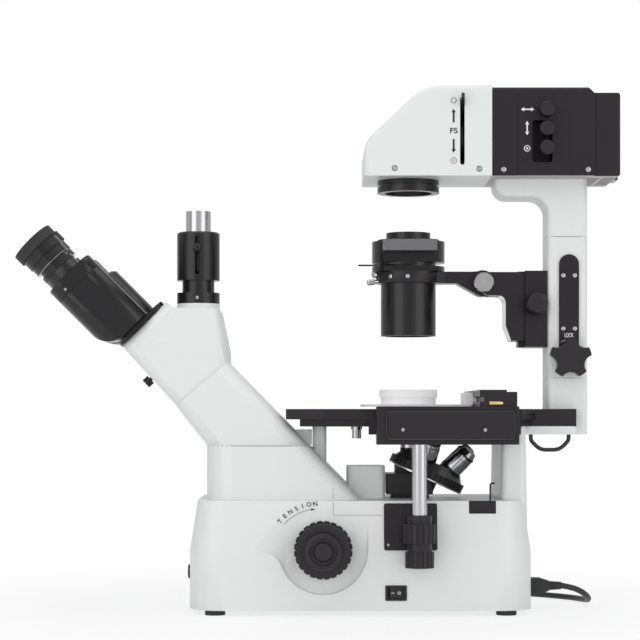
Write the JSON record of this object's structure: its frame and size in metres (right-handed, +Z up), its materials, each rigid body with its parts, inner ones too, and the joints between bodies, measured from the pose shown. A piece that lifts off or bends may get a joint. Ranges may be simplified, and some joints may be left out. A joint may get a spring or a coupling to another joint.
{
  "type": "inverted microscope",
  "caption": "Inverted trinocular microscope with tilted nosepiece, mechanical stage, phase condenser on a rear pillar and an overhead lamp house.",
  "frame": {"origin": "middle of the object's footprint, on the surface that its feet stand on", "axes": "+X to the rear, away from the eyepieces, +Y to the user's far side in the side view, +Z up"},
  "size_m": [0.607, 0.3189, 0.524],
  "materials": {
    "white_paint": "satin off-white enamel",
    "black_metal": "satin black anodised metal",
    "black_plastic": "matte black plastic",
    "black_rubber": "matte black rubber",
    "bright_metal": "bright plated metal",
    "objective_chrome": "satin plated barrels",
    "grey_metal": "grey anodised aluminium",
    "clear_dish": "clear dish"
  },
  "bodies": {
    "base": {"base_housing": "white_paint", "rubber_feet": "black_rubber", "arm_housing": "white_paint", "head_housing": "white_paint", "photo_port": "black_metal", "bino_plate": "black_metal", "stage_plate": "black_metal", "stage_insert": "black_metal", "stage_rail": "black_metal", "focus_cover": "black_plastic", "pillar": "white_paint", "lock_plate": "black_metal", "condenser_block": "black_metal", "lamp_cover": "white_paint", "lamp_housing": "black_metal", "field_lens": "black_metal", "switch_frame": "black_plastic", "power_connector": "black_rubber", "power_cord": "black_rubber", "cord_coil": "black_rubber", "mains_plug": "black_rubber", "lamp_cable": "black_rubber"},
    "coarse": {"coarse_knobs": "black_plastic"},
    "fine": {"fine_knobs": "black_plastic"},
    "tension": {"tension_ring": "black_plastic"},
    "carrier": {"nosepiece_carrier": "black_metal"},
    "turret": {"nosepiece_turret": "black_metal", "objectives": "objective_chrome"},
    "carriage": {"stage_carriage": "black_metal", "drive_post": "bright_metal"},
    "x_knob": {"stage_x_knob": "black_plastic"},
    "y_knob": {"stage_y_knob": "black_plastic"},
    "holder": {"specimen_holder": "black_metal", "specimen_dish": "clear_dish"},
    "right_eye": {"wing_right": "black_metal", "eyepiece_right": "black_metal", "eyecup_right": "black_rubber"},
    "left_eye": {"wing_left": "black_metal", "eyepiece_left": "black_metal", "eyecup_left": "black_rubber"},
    "dioptre": {"dioptre_ring": "black_plastic"},
    "port_tube": {"photo_tube": "bright_metal"},
    "head_screw": {"head_clamp_screw": "black_plastic"},
    "condenser_unit": {"condenser_bracket": "black_metal", "condenser_arm": "black_metal", "condenser": "black_metal"},
    "condenser_drive": {"condenser_knob": "black_plastic"},
    "arm_clamp": {"clamp_screw": "bright_metal"},
    "iris": {"iris_lever": "black_metal"},
    "phase": {"phase_slider": "grey_metal"},
    "field": {"field_lever": "black_metal"},
    "lamp_1": {"lamp_knob_1": "black_plastic"},
    "lamp_2": {"lamp_knob_2": "black_plastic"},
    "lamp_3": {"lamp_knob_3": "black_plastic"},
    "lock": {"lock_knob": "black_plastic"},
    "rocker": {"switch_rocker": "black_plastic"},
    "dimmer": {"dimmer_knob": "black_plastic"},
    "thumb": {"stage_screw": "bright_metal"},
    "filter": {"filter_slide": "black_plastic"}
  },
  "joints": [
    {"name": "coarse_focus", "type": "hinge", "parent": "base", "child": "coarse", "pos_m": [0.0032, 0, 0.0646], "axis": [0, 1, 0], "range_deg": [-17, 17]},
    {"name": "fine_focus", "type": "hinge", "parent": "coarse", "child": "fine", "pos_m": [0.0032, 0, 0.0646], "axis": [0, 1, 0], "continuous": true},
    {"name": "focus_tension", "type": "hinge", "parent": "base", "child": "tension", "pos_m": [0.0032, 0, 0.0646], "axis": [0, 1, 0], "range_deg": [-60, 60]},
    {"name": "nosepiece_focus", "type": "slide", "parent": "base", "child": "carrier", "axis": [0, 0, 1], "range_m": [-0.002, 0.002]},
    {"name": "nosepiece_turn", "type": "hinge", "parent": "carrier", "child": "turret", "pos_m": [0.1085, 0, 0.1365], "axis": [0.4226, 0, 0.9063], "continuous": true},
    {"name": "carriage_travel", "type": "slide", "parent": "base", "child": "carriage", "axis": [1, 0, 0], "range_m": [-0.04, 0.02]},
    {"name": "holder_travel", "type": "slide", "parent": "carriage", "child": "holder", "axis": [0, 1, 0], "range_m": [-0.03, 0.03]},
    {"name": "stage_y_turn", "type": "hinge", "parent": "carriage", "child": "y_knob", "pos_m": [0.0962, -0.1055, 0.06], "axis": [0, 0, 1], "range_deg": [-290, 150]},
    {"name": "stage_x_turn", "type": "hinge", "parent": "carriage", "child": "x_knob", "pos_m": [0.0962, -0.1055, 0.08], "axis": [0, 0, 1], "range_deg": [-245, 245]},
    {"name": "right_eye_swing", "type": "hinge", "parent": "base", "child": "right_eye", "pos_m": [-0.1783, 0, 0.285], "axis": [-0.7071, 0, 0.7071], "range_deg": [-13, 11]},
    {"name": "left_eye_swing", "type": "hinge", "parent": "base", "child": "left_eye", "pos_m": [-0.1783, 0, 0.285], "axis": [-0.7071, 0, 0.7071], "range_deg": [-11, 13]},
    {"name": "dioptre_turn", "type": "hinge", "parent": "left_eye", "child": "dioptre", "pos_m": [-0.19124, 0.031, 0.27206], "axis": [-0.7071, 0, 0.7071], "range_deg": [-90, 90]},
    {"name": "photo_tube_slide", "type": "slide", "parent": "base", "child": "port_tube", "axis": [0, 0, 1], "range_m": [-0.019, 0.009]},
    {"name": "head_screw_turn", "type": "hinge", "parent": "base", "child": "head_screw", "pos_m": [-0.1703, 0, 0.2345], "axis": [-0.726, 0, -0.6877], "range_deg": [-180, 180]},
    {"name": "condenser_focus", "type": "slide", "parent": "base", "child": "condenser_unit", "axis": [0, 0, 1], "range_m": [-0.02, 0.025]},
    {"name": "condenser_knob_turn", "type": "hinge", "parent": "base", "child": "condenser_drive", "pos_m": [0.217, -0.03, 0.3077], "axis": [0, 1, 0], "range_deg": [-135, 165]},
    {"name": "arm_clamp_turn", "type": "hinge", "parent": "condenser_unit", "child": "arm_clamp", "pos_m": [0.165, -0.02, 0.3296], "axis": [0, 1, 0], "range_deg": [-180, 180]},
    {"name": "iris_turn", "type": "hinge", "parent": "condenser_unit", "child": "iris", "pos_m": [0.09, 0, 0.3484], "axis": [0, 0, 1], "range_deg": [-35, 35]},
    {"name": "phase_slide", "type": "slide", "parent": "condenser_unit", "child": "phase", "axis": [0, 1, 0], "range_m": [-0.03, 0.03]},
    {"name": "field_stop_turn", "type": "hinge", "parent": "base", "child": "field", "pos_m": [0.148, 0, 0.4786], "axis": [1, 0, 0], "range_deg": [0, 56]},
    {"name": "lamp_centre_1", "type": "hinge", "parent": "base", "child": "lamp_1", "pos_m": [0.2245, -0.05, 0.4985], "axis": [0, 1, 0], "range_deg": [-180, 180]},
    {"name": "lamp_centre_2", "type": "hinge", "parent": "base", "child": "lamp_2", "pos_m": [0.2245, -0.05, 0.4795], "axis": [0, 1, 0], "range_deg": [-180, 180]},
    {"name": "lamp_centre_3", "type": "hinge", "parent": "base", "child": "lamp_3", "pos_m": [0.2245, -0.05, 0.4605], "axis": [0, 1, 0], "range_deg": [-180, 180]},
    {"name": "lock_turn", "type": "hinge", "parent": "base", "child": "lock", "pos_m": [0.251, -0.03, 0.2535], "axis": [0, 1, 0], "range_deg": [-90, 90]},
    {"name": "switch_rock", "type": "hinge", "parent": "base", "child": "rocker", "pos_m": [0.0742, -0.084, 0.0225], "axis": [0, 0, 1], "range_deg": [-14, 0]},
    {"name": "dimmer_turn", "type": "hinge", "parent": "base", "child": "dimmer", "pos_m": [-0.129, -0.03, 0.039], "axis": [1, 0, 0], "range_deg": [-140, 140]},
    {"name": "stage_screw_turn", "type": "hinge", "parent": "base", "child": "thumb", "pos_m": [0.0365, -0.048, 0.18], "axis": [0, 0, 1], "range_deg": [-180, 180]},
    {"name": "filter_lift", "type": "slide", "parent": "base", "child": "filter", "axis": [0, 0, 1], "range_m": [0, 0.012]}
  ],
  "couplings": [
    {"joint": "coarse_focus", "follows": "nosepiece_focus", "rad_per_m": -142.86},
    {"joint": "stage_y_turn", "follows": "carriage_travel", "rad_per_m": 125},
    {"joint": "stage_x_turn", "follows": "holder_travel", "rad_per_m": 125},
    {"joint": "left_eye_swing", "follows": "right_eye_swing", "ratio": -1},
    {"joint": "condenser_knob_turn", "follows": "condenser_focus", "rad_per_m": 111}
  ]
}
